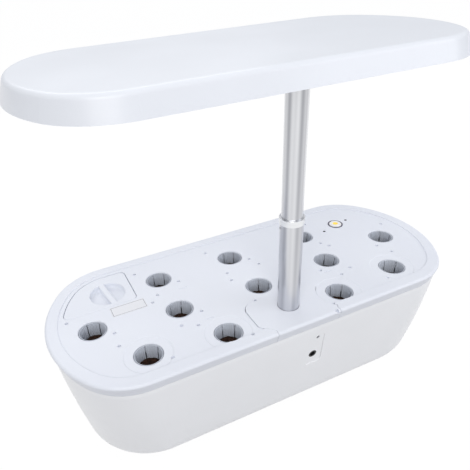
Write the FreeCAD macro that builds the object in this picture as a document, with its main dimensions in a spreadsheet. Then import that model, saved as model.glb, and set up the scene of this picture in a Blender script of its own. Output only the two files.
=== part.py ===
import FreeCAD, Part
import math
import os
import Sketcher

# Countertop hydroponic garden: a long bowl-shaped water tank, a lift-off deck with
# pod baskets, a telescopic mast and a wide grow lamp. Millimetres, +Z up, +X along
# the long axis, origin on the table under the middle of the tank.

doc = FreeCAD.newDocument("garden")
sheet = doc.addObject("Spreadsheet::Sheet", "sizes")

SIZES = {
    # deck outline: three-centre ends, a small corner radius and a wide end radius
    "deckLength": 416.0, "deckWidth": 177.1, "deckCornerR": 59.3, "deckEndR": 107.0,
    "deckTop": 131.0, "deckPlate": 3.0, "rimRise": 1.0, "rimWidth": 12.0, "rimRound": 2.5,
    "skirtWall": 2.4, "skirtBottom": 120.0, "skirtDraft": 3.0, "stepRound": 0.8,
    # tank wall below the skirt
    "tankInset": 3.1, "tankWall": 2.4, "tankBottom": 2.0, "tankShoulder": 116.0,
    "endTaper": 18.3, "sideTaper": 16.0, "taperCurve": 0.39, "bottomRound": 26.0,
    "footCornerR": 67.6, "footEndR": 94.3, "bodyGap": 0.3, "seamGap": 0.4, "fitGap": 0.1,
    # pod openings and baskets
    "podR": 13.0, "podLip": 1.2, "collarWall": 1.2, "collarDepth": 6.0, "ledgeR": 12.35,
    "ledgeTop": 124.9, "dishR": 22.0, "dishDepth": 0.5,
    "basketFlangeR": 12.85, "basketMouthR": 12.1, "basketTopR": 12.2, "basketBottomR": 10.0,
    "basketDepth": 42.0,
    "basketWall": 1.0, "flangeThick": 5.0, "slotWidth": 1.2, "slotFoot": 5.0, "slotHead": 0.8,
    # mast
    "mastX": 5.5, "mastY": -58.7, "lowerTubeR": 10.0, "lowerTubeWall": 0.8,
    "lowerTubeFoot": 30.0, "sleeveFloor": 2.5, "collarTop": 225.0, "collarHeight": 3.5, "collarBandR": 10.6,
    "collarLap": 2.0, "studR": 1.1, "studStand": 0.5,
    "studDrop": 6.0, "studTurn": 168.0, "upperTubeR": 8.9, "upperTubeWall": 0.8, "upperTubeFoot": 140.0,
    "runGap": 0.08, "bushDrop": 8.0, "sleeveWall": 2.0, "mastHoleR": 10.3,
    # mast platform, the fixed block that the deck is cut around
    "platformLeft": -34.0, "platformRight": 45.0, "platformFar": -39.5,
    "platformCornerR": 12.0, "seamLeft": -22.8, "seamRight": 42.6, "platformPlate": 4.0,
    "platformRound": 0.5,
    # lamp head
    "lampLength": 376.0, "lampWidth": 188.0, "lampCornerR": 62.0, "lampEndR": 125.0,
    "lampX": -2.0, "lampY": 4.5, "lampBottom": 336.0, "lampHeight": 16.5, "lampLean": 5.3,
    "lampWall": 2.0, "lampRound": 4.5, "lampRecess": 2.6, "lampPlate": 2.0,
    "ledBoardLength": 300.0, "ledBoardWidth": 84.0, "ledBoardThick": 1.4,
    "ledBoardY": 6.0, "chipSize": 3.4, "chipThick": 0.6, "postR": 4.2, "screwR": 1.4,
    "screwHeadR": 2.9, "socketWall": 4.0,
    # filler lid
    "lidRight": -115.7, "lidNear": 20.0, "lidInset": 16.0, "lidThick": 2.0, "lidGap": 0.4,
    "lidLedge": 3.0, "gripX": -141.0, "gripY": 42.5, "gripR": 17.3, "gripBar": 6.0,
    "gripDepth": 6.0, "gripTilt": 8.0, "lidCorner": 6.0,
    # power button and its housing
    "buttonX": 136.3, "buttonY": 41.0, "bezelR": 8.6, "bezelBand": 1.2, "buttonGap": 0.3,
    "buttonStand": 1.1, "iconR": 3.0, "boxTop": 127.9, "boxDepth": 10.0, "boxLength": 56.0,
    "boxWidth": 34.0, "boxWall": 1.5, "indicatorR": 1.6,
    # blank label pad, support holes and tie slots
    "labelX": -128.4, "labelY": 10.3, "labelLength": 34.4, "labelWidth": 14.4,
    "labelThick": 0.25, "supportR": 1.7, "supportDepth": 2.2,
    "farX": 19.5, "farY": 21.0, "nearX": 17.0, "nearY": 13.0,
    "slitLength": 9.0, "slitWidth": 0.9, "slitDepth": 0.5,
    # port panel on the near wall
    "panelX": 21.5, "panelZ": 88.0, "panelWidth": 17.0, "panelHeight": 38.0,
    "panelThick": 3.0, "panelSink": 0.7, "socketX": 20.0, "socketZ": 82.0, "socketBoreR": 2.75,
    "socketR": 4.2, "socketLength": 11.0, "sensorX": 23.0, "sensorZ": 104.0, "sensorR": 1.7,
    # pump and feet
    "pumpX": 40.0, "pumpY": 22.0, "pumpLength": 42.0, "pumpWidth": 32.0, "pumpHeight": 34.0,
    "cupR": 7.0, "cupHeight": 5.0, "chamberR": 11.0, "chamberDepth": 9.0, "impellerR": 9.0,
    "shaftR": 1.2, "nozzleR": 4.5, "nozzleHeight": 24.0,
    "footX": 120.0, "footY": 26.0, "footR": 8.0,
}

# pod centres in plan, numbered from the left end, with the turn of each basket's slots
PODS = [
    (-167.0, -5.1, 45.0), (-131.3, -57.0, 28.0), (-87.6, 39.4, 41.0), (-85.9, -14.4, 2.0),
    (-60.0, -64.9, 33.0), (-5.3, 39.6, 38.0), (-2.9, -19.0, 0.0), (85.8, 37.7, 14.0),
    (81.8, -14.6, 2.0), (59.5, -64.3, 38.0), (131.3, -56.5, 23.0), (162.5, -5.8, 48.0),
]
# the four pods of the near row sit in a shallow round dish
DISHED = (1, 4, 9, 10)
# bands that make up a rounded edge and the tank's curved wall
ROLL_STEPS = 9
WALL_STEPS = 5
SKIRT_STEPS = 4

for row, (alias, value) in enumerate(SIZES.items(), start=1):
    sheet.set("A%d" % row, alias)
    sheet.set("B%d" % row, repr(value))
    sheet.setAlias("B%d" % row, alias)
podRow = len(SIZES) + 1
for number, (podX, podY, turn) in enumerate(PODS, start=1):
    for alias, value in (("podX%02d", podX), ("podY%02d", podY), ("podTurn%02d", turn)):
        sheet.set("A%d" % podRow, alias % number)
        sheet.set("B%d" % podRow, repr(value))
        sheet.setAlias("B%d" % podRow, "%s" % (alias % number))
        podRow += 1
doc.recompute()


class Size:
    """A number that remembers the spreadsheet expression it comes from."""

    def __init__(self, value, text):
        self.value = value
        self.text = text

    def joined(self, other, sign, value):
        return Size(value, "(%s %s %s)" % (self.text, sign, asSize(other).text))

    def __add__(self, other):
        return self.joined(other, "+", self.value + asSize(other).value)

    def __sub__(self, other):
        return self.joined(other, "-", self.value - asSize(other).value)

    def __mul__(self, other):
        return self.joined(other, "*", self.value * asSize(other).value)

    def __truediv__(self, other):
        return self.joined(other, "/", self.value / asSize(other).value)


def asSize(item):
    return item if isinstance(item, Size) else Size(float(item), "%.6f" % item)


def cell(alias):
    return Size(float(sheet.get(alias)), "sizes." + alias)


def num(alias):
    return float(sheet.get(alias))


def bind(thing, prop, item):
    thing.setExpression(prop, asSize(item).text)


subParts = []


def keep(thing, label):
    """Names a sub-part and puts it on the list of files to write."""
    thing.Label = label
    subParts.append(thing)
    return thing


def newBody(name):
    return doc.addObject("PartDesign::Body", name)


def originPlane(body, role):
    return next(item for item in body.Origin.OriginFeatures if item.Role == role)


def newSketch(body, name, z=0.0, x=0.0, y=0.0, role="XY_Plane"):
    """A sketch on one of the body's origin planes, moved by an attachment offset."""
    sketch = body.newObject("Sketcher::SketchObject", name)
    sketch.AttachmentSupport = [(originPlane(body, role), "")]
    sketch.MapMode = "FlatFace"
    for axis, item in (("x", x), ("y", y), ("z", z)):
        setattr(sketch.AttachmentOffset.Base, axis, asSize(item).value)
        bind(sketch, "AttachmentOffset.Base." + axis, item)
    return sketch


def driven(sketch, item, *where):
    """Adds a dimension to a sketch and ties it to its expression."""
    item = asSize(item)
    index = sketch.addConstraint(Sketcher.Constraint(*where, item.value))
    sketch.setExpression("Constraints[%d]" % index, item.text)


def addCircle(sketch, radius, x=None, y=None):
    """A circle at the sketch's origin, or at driven x and y distances from it."""
    px = asSize(x).value if x is not None else 0.0
    py = asSize(y).value if y is not None else 0.0
    centre = FreeCAD.Vector(px, py, 0)
    circle = sketch.addGeometry(Part.Circle(centre, FreeCAD.Vector(0, 0, 1), asSize(radius).value))
    if x is None:
        sketch.addConstraint(Sketcher.Constraint("Coincident", circle, 3, -1, 1))
    else:
        driven(sketch, x, "DistanceX", -1, 1, circle, 3)
        driven(sketch, y, "DistanceY", -1, 1, circle, 3)
    driven(sketch, radius, "Radius", circle)
    return circle


def addOutline(sketch, halfLength, halfWidth, cornerR, endR):
    """A long outline with three-centre ends: corner arc, wide end arc, corner arc."""
    hl, hw = halfLength.value, halfWidth.value
    rc, re = cornerR.value, endR.value
    endX = hl - re
    cornerX = endX + math.sqrt((re - rc) ** 2 - (hw - rc) ** 2)
    swing = math.atan2(hw - rc, cornerX - endX)
    up = FreeCAD.Vector(0, 0, 1)
    pi = math.pi

    def arc(x, y, radius, start, end):
        circle = Part.Circle(FreeCAD.Vector(x, y, 0), up, radius)
        return Part.ArcOfCircle(circle, start, end)

    def line(x0, y0, x1, y1):
        return Part.LineSegment(FreeCAD.Vector(x0, y0, 0), FreeCAD.Vector(x1, y1, 0))

    pieces = [
        arc(endX, 0, re, -swing, swing),
        arc(cornerX, hw - rc, rc, swing, pi / 2),
        line(cornerX, hw, -cornerX, hw),
        arc(-cornerX, hw - rc, rc, pi / 2, pi - swing),
        arc(-endX, 0, re, pi - swing, pi + swing),
        arc(-cornerX, rc - hw, rc, pi + swing, 1.5 * pi),
        line(-cornerX, -hw, cornerX, -hw),
        arc(cornerX, rc - hw, rc, 1.5 * pi, 2 * pi - swing),
    ]
    ids = [sketch.addGeometry(piece) for piece in pieces]
    for i in range(8):
        sketch.addConstraint(Sketcher.Constraint("Tangent", ids[i], 2, ids[(i + 1) % 8], 1))
    for i in (2, 6):
        sketch.addConstraint(Sketcher.Constraint("Horizontal", ids[i]))
    for i in (0, 4):
        sketch.addConstraint(Sketcher.Constraint("PointOnObject", ids[i], 3, -1))
        driven(sketch, endR, "Radius", ids[i])
    for i in (1, 3, 5, 7):
        driven(sketch, cornerR, "Radius", ids[i])
    driven(sketch, halfWidth, "DistanceY", -1, 1, ids[2], 1)
    driven(sketch, asSize(0.0) - halfWidth, "DistanceY", -1, 1, ids[6], 1)
    driven(sketch, halfLength - endR, "DistanceX", -1, 1, ids[0], 3)
    driven(sketch, endR - halfLength, "DistanceX", -1, 1, ids[4], 3)


def addInset(sketch, kind, inset):
    """The outline of the deck or the lamp, drawn in by an inset."""
    addOutline(sketch, cell(kind + "Length") / 2 - inset, cell(kind + "Width") / 2 - inset,
               cell(kind + "CornerR") - inset, cell(kind + "EndR") - inset)


def pad(body, sketch, length, reverse=False):
    feature = body.newObject("PartDesign::Pad", sketch.Name + "Pad")
    feature.Profile = sketch
    feature.Length = asSize(length).value
    bind(feature, "Length", length)
    feature.Reversed = reverse
    doc.recompute()
    return feature


def pocket(body, sketch, length, reverse=False):
    """Cuts downwards from its sketch, or upwards when reversed."""
    before = body.Shape.Volume
    feature = body.newObject("PartDesign::Pocket", sketch.Name + "Pocket")
    feature.Profile = sketch
    feature.Length = asSize(length).value
    bind(feature, "Length", length)
    feature.Reversed = reverse
    doc.recompute()
    if not body.Shape.Volume < before:
        raise RuntimeError("pocket cuts nothing: " + sketch.Name)
    return feature


def fillet(body, base, radius, wanted, name):
    """Rounds the edges that the test wanted(edge) picks."""
    found = ["Edge%d" % (i + 1) for i, edge in enumerate(base.Shape.Edges) if wanted(edge)]
    if not found:
        raise RuntimeError("no edge to round for " + name)
    feature = body.newObject("PartDesign::Fillet", name)
    feature.Base = (base, found)
    feature.Radius = asSize(radius).value
    bind(feature, "Radius", radius)
    doc.recompute()
    return feature


def flatAt(edge, z):
    box = edge.BoundBox
    return abs(box.ZMin - z) < 0.01 and abs(box.ZMax - z) < 0.01


def revolved(name, points, x=0.0, y=0.0):
    """A body turned about Z from (radius, height) corners, all tied to the sheet."""
    body = newBody(name)
    sketch = newSketch(body, name + "Profile", role="XZ_Plane")
    corners = [(asSize(r), asSize(z)) for r, z in points]
    count = len(corners)
    lines = []
    for i in range(count):
        r0, z0 = corners[i]
        r1, z1 = corners[(i + 1) % count]
        lines.append(sketch.addGeometry(Part.LineSegment(
            FreeCAD.Vector(r0.value, z0.value, 0), FreeCAD.Vector(r1.value, z1.value, 0))))
    for i in range(count):
        sketch.addConstraint(Sketcher.Constraint("Coincident", lines[i], 2, lines[(i + 1) % count], 1))
    for i in range(count):
        if corners[i][0].value == 0:
            sketch.addConstraint(Sketcher.Constraint("PointOnObject", lines[i], 1, -2))
        else:
            driven(sketch, corners[i][0], "DistanceX", -1, 1, lines[i], 1)
        driven(sketch, corners[i][1], "DistanceY", -1, 1, lines[i], 1)
    feature = body.newObject("PartDesign::Revolution", name + "Turn")
    feature.Profile = sketch
    feature.ReferenceAxis = (sketch, ["V_Axis"])
    feature.Angle = 360
    bind(body, "Placement.Base.x", x)
    bind(body, "Placement.Base.y", y)
    doc.recompute()
    return body


def tubeBody(label, outer, inner, bottom, top, x=0.0, y=0.0):
    profile = [(inner, bottom), (outer, bottom), (outer, top), (inner, top)]
    return keep(revolved(label + "Body", profile, x, y), label)


def featureFrom(label, shape, place=None):
    """A sub-part or cutter whose shape is worked out from the sheet's values."""
    thing = doc.addObject("Part::Feature", label + "Shape")
    thing.Shape = shape
    if place is not None:
        thing.Placement = place
    return thing


def cutBy(label, base, tools):
    """One object cut by another, kept parametric."""
    result = base
    for index, tool in enumerate(tools):
        step = doc.addObject("Part::Cut", "%sCut%d" % (label, index))
        step.Base = result
        step.Tool = tool
        result = step
    doc.recompute()
    return keep(result, label)


def roundedWire(corners, z):
    """A closed wire through corners (x, y, radius), with an arc at each radius."""
    count = len(corners)
    starts, ends, mids = [], [], []
    for i in range(count):
        here = FreeCAD.Vector(corners[i][0], corners[i][1], z)
        radius = corners[i][2]
        back = FreeCAD.Vector(corners[i - 1][0], corners[i - 1][1], z) - here
        forth = FreeCAD.Vector(corners[(i + 1) % count][0], corners[(i + 1) % count][1], z) - here
        back.normalize()
        forth.normalize()
        half = back.getAngle(forth) / 2
        run = radius / math.tan(half)
        starts.append(here + back * run)
        ends.append(here + forth * run)
        bisector = (back + forth).normalize()
        mids.append(here + bisector * (radius / math.sin(half) - radius))
    edges = []
    for i in range(count):
        if corners[i][2] > 0:
            edges.append(Part.Arc(starts[i], mids[i], ends[i]).toShape())
        edges.append(Part.LineSegment(ends[i], starts[(i + 1) % count]).toShape())
    return Part.Wire(edges)


def prism(corners, bottom, top):
    face = Part.Face(roundedWire(corners, bottom))
    return face.extrude(FreeCAD.Vector(0, 0, top - bottom))


def outlineWire(kind, inset, z):
    """The deck or lamp outline as a wire, drawn in by an inset."""
    hl = num(kind + "Length") / 2 - inset
    hw = num(kind + "Width") / 2 - inset
    rc = num(kind + "CornerR") - inset
    re = num(kind + "EndR") - inset
    endX = hl - re
    cornerX = endX + math.sqrt((re - rc) ** 2 - (hw - rc) ** 2)
    swing = math.atan2(hw - rc, cornerX - endX)
    joinX, joinY = endX + re * math.cos(swing), re * math.sin(swing)
    midX, midY = cornerX + rc * math.cos((swing + math.pi / 2) / 2), hw - rc + rc * math.sin(
        (swing + math.pi / 2) / 2)

    def at(x, y):
        return FreeCAD.Vector(x, y, z)

    return Part.Wire([
        Part.Arc(at(joinX, -joinY), at(hl, 0), at(joinX, joinY)).toShape(),
        Part.Arc(at(joinX, joinY), at(midX, midY), at(cornerX, hw)).toShape(),
        Part.LineSegment(at(cornerX, hw), at(-cornerX, hw)).toShape(),
        Part.Arc(at(-cornerX, hw), at(-midX, midY), at(-joinX, joinY)).toShape(),
        Part.Arc(at(-joinX, joinY), at(-hl, 0), at(-joinX, -joinY)).toShape(),
        Part.Arc(at(-joinX, -joinY), at(-midX, -midY), at(-cornerX, -hw)).toShape(),
        Part.LineSegment(at(-cornerX, -hw), at(cornerX, -hw)).toShape(),
        Part.Arc(at(cornerX, -hw), at(midX, -midY), at(joinX, -joinY)).toShape(),
    ])


def outlinePrism(kind, inset, bottom, top):
    face = Part.Face(outlineWire(kind, inset, bottom))
    return face.extrude(FreeCAD.Vector(0, 0, top - bottom))


def cylinder(radius, height, x, y, z, axis=(0, 0, 1)):
    return Part.makeCylinder(radius, height, FreeCAD.Vector(x, y, z), FreeCAD.Vector(*axis))


# the sides of the tank draw in with depth: a share that is straight and a share that curves
def skirtLevels():
    """Heights and insets of the deck's outer face: a drafted skirt and a rolled top edge."""
    roll = cell("rimRound")
    start = cell("deckTop") + cell("rimRise") - roll
    levels = [(cell("skirtBottom"), cell("skirtDraft")), (start, asSize(0.0))]
    for step in range(1, SKIRT_STEPS + 1):
        angle = math.radians(90.0 * step / SKIRT_STEPS)
        levels.append((start + roll * math.sin(angle), roll * (1 - math.cos(angle))))
    return levels


def skirtSolid():
    """The deck's outer shape as one solid, for the fixed platform that continues it."""
    wires = [outlineWire("deck", inset.value, z.value) for z, inset in skirtLevels()]
    return Part.makeLoft(wires, True, True)


def tankSection(body, name, z, roll, wall):
    """One section of the tank's bowl, drawn in by the taper, the base round and a wall."""
    depth = cell("tankShoulder") - cell("tankBottom")
    fall = (cell("tankShoulder") - z) / depth
    bend = fall * (asSize(1.0) - cell("taperCurve")) + fall * fall * cell("taperCurve")
    drawn = cell("tankInset") + roll + wall
    cornerR = cell("deckCornerR") - cell("tankInset")
    endR = cell("deckEndR") - cell("tankInset")
    sketch = newSketch(body, name, z)
    addOutline(sketch,
               cell("deckLength") / 2 - drawn - cell("endTaper") * bend,
               cell("deckWidth") / 2 - drawn - cell("sideTaper") * bend,
               cornerR + (cell("footCornerR") - cornerR) * fall - roll - wall,
               endR + (cell("footEndR") - endR) * fall - roll - wall)
    return sketch


def tankLoft(body, kind, name, wall, floor):
    """A ruled loft through the bowl's close sections, solid or taken away."""
    sections = []
    for step in range(ROLL_STEPS + 1):
        angle = math.radians(90.0 * step / ROLL_STEPS)
        low = cell("tankBottom") + floor + cell("bottomRound") * (1 - math.cos(angle))
        roll = cell("bottomRound") * (1 - math.sin(angle))
        sections.append(tankSection(body, "%sRoll%d" % (name, step), low, roll, wall))
    start = cell("tankBottom") + floor + cell("bottomRound")
    for step in range(1, WALL_STEPS + 1):
        z = start + (cell("tankShoulder") - start) * (step / WALL_STEPS)
        sections.append(tankSection(body, "%sWall%d" % (name, step), z, asSize(0.0), wall))
    return ruledLoft(body, kind, name, sections)


def ruledLoft(body, kind, name, sections):
    feature = body.newObject(kind, name)
    feature.Profile = sections[0]
    feature.Sections = sections[1:]
    feature.Ruled = True
    doc.recompute()
    return feature


def tank():
    body = newBody("tankBody")
    zero = asSize(0.0)
    tankLoft(body, "PartDesign::AdditiveLoft", "tankBowl", zero, zero)
    top = cell("deckTop") - cell("deckPlate") - cell("bodyGap")
    shelf = cell("skirtBottom") - cell("bodyGap")
    rebate = cell("skirtDraft") + cell("skirtWall") + cell("bodyGap")
    upright = newSketch(body, "tankUpright", cell("tankShoulder"))
    addInset(upright, "deck", cell("tankInset"))
    pad(body, upright, shelf - cell("tankShoulder"))
    lip = newSketch(body, "tankLip", shelf)
    addInset(lip, "deck", rebate)
    pad(body, lip, top - shelf)
    tankLoft(body, "PartDesign::SubtractiveLoft", "tankHollow", cell("tankWall"), cell("tankWall"))
    mouth = newSketch(body, "tankMouth", top)
    addInset(mouth, "deck", rebate + cell("tankWall"))
    pocket(body, mouth, top - cell("tankShoulder"))
    window = featureFrom("tankWindow", panelBlock(num("fitGap"), 12.0))
    return cutBy("water_tank", body, [window])


def panelPlace():
    """The port panel lies in the near wall and leans with it."""
    fall = (num("tankShoulder") - num("panelZ")) / (num("tankShoulder") - num("tankBottom"))
    curve = num("taperCurve")
    bend = fall * (1 - curve) + fall * fall * curve
    y = -num("deckWidth") / 2 + num("tankInset") + num("sideTaper") * bend
    slope = num("sideTaper") * (1 - curve + 2 * curve * fall)
    lean = math.degrees(math.atan(slope / (num("tankShoulder") - num("tankBottom"))))
    turn = FreeCAD.Rotation(FreeCAD.Vector(1, 0, 0), lean)
    return FreeCAD.Placement(FreeCAD.Vector(num("panelX"), y, num("panelZ")), turn)


def panelBlock(grow, depth):
    """A round-cornered plate in the panel's own plane, its front at panelSink."""
    hw, hh = num("panelWidth") / 2 + grow, num("panelHeight") / 2 + grow
    front = -depth if grow > 0 else num("panelSink")
    back = depth if grow > 0 else num("panelSink") + depth
    box = Part.makeBox(2 * hw, back - front, 2 * hh, FreeCAD.Vector(-hw, front, -hh))
    edges = [e for e in box.Edges if abs(e.BoundBox.YLength - (back - front)) < 1e-6]
    box = box.makeFillet(2.0 + grow, edges)
    box.Placement = panelPlace()
    return box


def alongPanel(x, z, radius, start, length):
    """A cylinder square to the port panel, at a place given in the world's x and z."""
    place = panelPlace()
    local = FreeCAD.Vector(x - num("panelX"), start, (z - num("panelZ")))
    rod = Part.makeCylinder(radius, length, local, FreeCAD.Vector(0, 1, 0))
    rod.Placement = place
    return rod


def ports():
    """The panel, the power inlet and the small sensor lens."""
    gap = num("fitGap")
    sink = num("panelSink")
    plate = panelBlock(0.0, num("panelThick"))
    plate = plate.cut(alongPanel(num("socketX"), num("socketZ"), num("socketR") + gap, -5, 20))
    plate = plate.cut(alongPanel(num("sensorX"), num("sensorZ"), num("sensorR") + gap, -5, 20))
    keep(featureFrom("panel", plate), "port_panel")
    socket = alongPanel(num("socketX"), num("socketZ"), num("socketR"), sink, num("socketLength"))
    bore = alongPanel(num("socketX"), num("socketZ"), num("socketBoreR"), -1, num("socketLength") - 1)
    keep(featureFrom("socket", socket.cut(bore)), "dc_socket")
    lens = alongPanel(num("sensorX"), num("sensorZ"), num("sensorR"), sink + 0.4, num("panelThick"))
    keep(featureFrom("sensor", lens), "sensor_lens")


def platformCorners(grow):
    """Plan corners of the mast platform; it grows by the seam gap for the deck's cut."""
    near = -num("deckWidth") / 2 - 5
    far = num("platformFar") + grow
    left, right = num("platformLeft") - grow, num("platformRight") + grow
    seamLeft, seamRight = num("seamLeft") - grow, num("seamRight") + grow
    neck = -num("deckWidth") / 2 + 5
    radius = num("platformCornerR")
    return [(seamLeft, near, 0), (seamRight, near, 0), (seamRight, neck, 1.5), (right, neck + 4, 1.5),
            (right, far, radius), (left, far, radius), (left, neck + 11, 4), (seamLeft, neck, 3)]


def platformPrism(grow, bottom, top):
    solid = prism(platformCorners(grow), bottom, top)
    podX, podY = PODS[9][0], PODS[9][1]
    dish = cylinder(num("dishR") + num("seamGap") - grow, top - bottom, podX, podY, bottom)
    return solid.cut(dish)


def mastHousing():
    """The fixed platform round the mast, with a skin that hooks over the near wall."""
    top = num("deckTop") + num("rimRise")
    low = top - num("platformPlate")
    plate = platformPrism(0.0, low, top)
    outer = skirtSolid()
    plate = plate.common(outer)
    rolled = num("rimRound") - num("deckWidth") / 2 + 0.05
    edges = [e for e in plate.Edges if flatAt(e, top) and e.BoundBox.YMax > rolled]
    plate = plate.makeFillet(num("platformRound"), edges)
    inside = outlinePrism("deck", num("skirtDraft") + num("skirtWall"), 0, top + 5)
    seam = Part.makeBox(num("seamRight") - num("seamLeft"), 30, 60,
                        FreeCAD.Vector(num("seamLeft"), -num("deckWidth") / 2 - 5, num("skirtBottom")))
    skin = outer.common(seam).cut(inside)
    solid = plate.fuse(skin).removeSplitter()
    hole = cylinder(num("mastHoleR"), 40, num("mastX"), num("mastY"), low - 20)
    notch = prism([(36.0, -86.2, 0), (40.8, -89.9, 0), (40.8, -85.2, 0)], top - 3.2, top + 1)
    return keep(featureFrom("housing", solid.cut(hole).cut(notch)), "mast_housing")


def mast():
    """Dry sleeve, lower tube, collar with its set screw, upper tube, bush and ferrule."""
    x, y = cell("mastX"), cell("mastY")
    floor = cell("lowerTubeFoot") - cell("sleeveFloor")
    low = cell("deckTop") + cell("rimRise") - cell("platformPlate")
    sleeveIn = cell("lowerTubeR") + cell("fitGap")
    sleeve = [(asSize(0.0), floor), (sleeveIn + cell("sleeveWall"), floor),
              (sleeveIn + cell("sleeveWall"), low - 0.1), (sleeveIn, low - 0.1),
              (sleeveIn, cell("lowerTubeFoot")), (asSize(0.0), cell("lowerTubeFoot"))]
    keep(revolved("sleeveBody", sleeve, x, y), "mast_sleeve")
    tubeTop = cell("collarTop") - cell("collarHeight")
    outer = cell("lowerTubeR")
    inner = outer - cell("lowerTubeWall")
    tubeBody("lower_tube", outer, inner, cell("lowerTubeFoot"), tubeTop, x, y)
    snug = cell("upperTubeR") + cell("runGap")
    lap = outer + 0.05
    band = [(snug, tubeTop), (lap, tubeTop), (lap, tubeTop - cell("collarLap")),
            (cell("collarBandR"), tubeTop - cell("collarLap")), (cell("collarBandR"), cell("collarTop")),
            (snug, cell("collarTop"))]
    keep(revolved("collarBody", band, x, y), "mast_collar")
    keep(featureFrom("collarScrew", collarScrew(tubeTop.value)), "collar_screw")
    tubeEnd = cell("lampBottom") + cell("lampRecess") + cell("lampPlate") + 6.5
    upperIn = cell("upperTubeR") - cell("upperTubeWall")
    tubeBody("upper_tube", cell("upperTubeR"), upperIn, cell("upperTubeFoot"), tubeEnd, x, y)
    plug = upperIn - 0.02
    foot = cell("upperTubeFoot")
    bush = [(plug - 2.0, foot - cell("bushDrop")), (inner - cell("runGap"), foot - cell("bushDrop")),
            (inner - cell("runGap"), foot), (plug, foot), (plug, foot + 12.0), (plug - 2.0, foot + 12.0)]
    keep(revolved("bushBody", bush, x, y), "slide_bush")
    under = cell("lampBottom") - cell("bodyGap")
    tubeBody("mast_ferrule", cell("upperTubeR") + 1.6, cell("upperTubeR") + 0.02, under - 5.0, under, x, y)


def collarScrew(tubeTop):
    """A small stud proud of the lower tube, just below the collar."""
    angle = math.radians(num("studTurn"))
    outwards = (math.cos(angle), math.sin(angle), 0)
    start = num("lowerTubeR") + 0.02
    x, y = num("mastX") + start * outwards[0], num("mastY") + start * outwards[1]
    return cylinder(num("studR"), num("studStand"), x, y, tubeTop - num("studDrop"), outwards)


def deckHoles(sketch, radius, which=range(1, 13)):
    for number in which:
        addCircle(sketch, radius, cell("podX%02d" % number), cell("podY%02d" % number))


def supportPlaces():
    """Two small holes for plant supports at each pod, mirrored on the right half."""
    places = []
    for podX, podY, _ in PODS:
        side = 1 if podX > 20 else -1
        places.append((podX + side * num("farX"), podY + num("farY")))
        places.append((podX - side * num("nearX"), podY - num("nearY")))
    places += [(-97.2, 15.3), (96.0, 15.0), (-93.2, -37.4), (93.6, -37.8), (-20.6, 14.9), (16.1, 13.8),
               (-17.6, -38.0)]
    return places


def deckCutter():
    """What the deck loses besides its pods: the mast platform and its open near side,
    the filler mouth, the shallow dishes, the support holes and the narrow slits."""
    top = num("deckTop")
    cutters = [platformPrism(num("seamGap"), num("skirtBottom") - 2, top + 5)]
    cutters.append(lidSolid(0.0, top - num("lidThick") - num("bodyGap"), top + 1))
    cutters.append(lidSolid(num("lidLedge"), top - 10, top + 1))
    inner = outlinePrism("deck", num("rimWidth") + 0.6, top - num("dishDepth"), top + 0.2)
    for index in DISHED:
        podX, podY, _ = PODS[index]
        dish = Part.makeCone(num("dishR") - 1.2, num("dishR") + 0.3, num("dishDepth") + 0.2,
                             FreeCAD.Vector(podX, podY, top - num("dishDepth")))
        cutters.append(dish.common(inner))
    for x, y in supportPlaces():
        cutters.append(cylinder(num("supportR"), num("supportDepth") + 1, x, y, top - num("supportDepth")))
    half = num("slitLength") / 2
    for x, y in ((-71.2, 13.8), (-67.1, -40.5), (70.2, -32.2)):
        wide = num("slitWidth") / 2
        corners = [(x - half, y - wide, 0.4), (x + half, y - wide, 0.4),
                   (x + half, y + wide, 0.4), (x - half, y + wide, 0.4)]
        cutters.append(prism(corners, top - num("slitDepth"), top + 1))
    return Part.makeCompound(cutters)


def lidSolid(inset, bottom, top):
    """The filler lid's plan between two heights, drawn in by an inset."""
    region = outlinePrism("deck", num("lidInset") + inset, bottom, top)
    left, near = -num("deckLength"), num("lidNear") + inset
    right = num("lidRight") - inset
    box = Part.makeBox(right - left, num("deckWidth"), top - bottom, FreeCAD.Vector(left, near, bottom))
    solid = region.common(box)
    upright = [e for e in solid.Edges
               if abs(e.BoundBox.ZLength - (top - bottom)) < 1e-4 and e.BoundBox.XLength < 1e-4
               and (abs(e.BoundBox.XMin - right) < 1e-3 or abs(e.BoundBox.YMin - near) < 1e-3)]
    return solid.makeFillet(num("lidCorner") - inset, upright)


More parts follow.
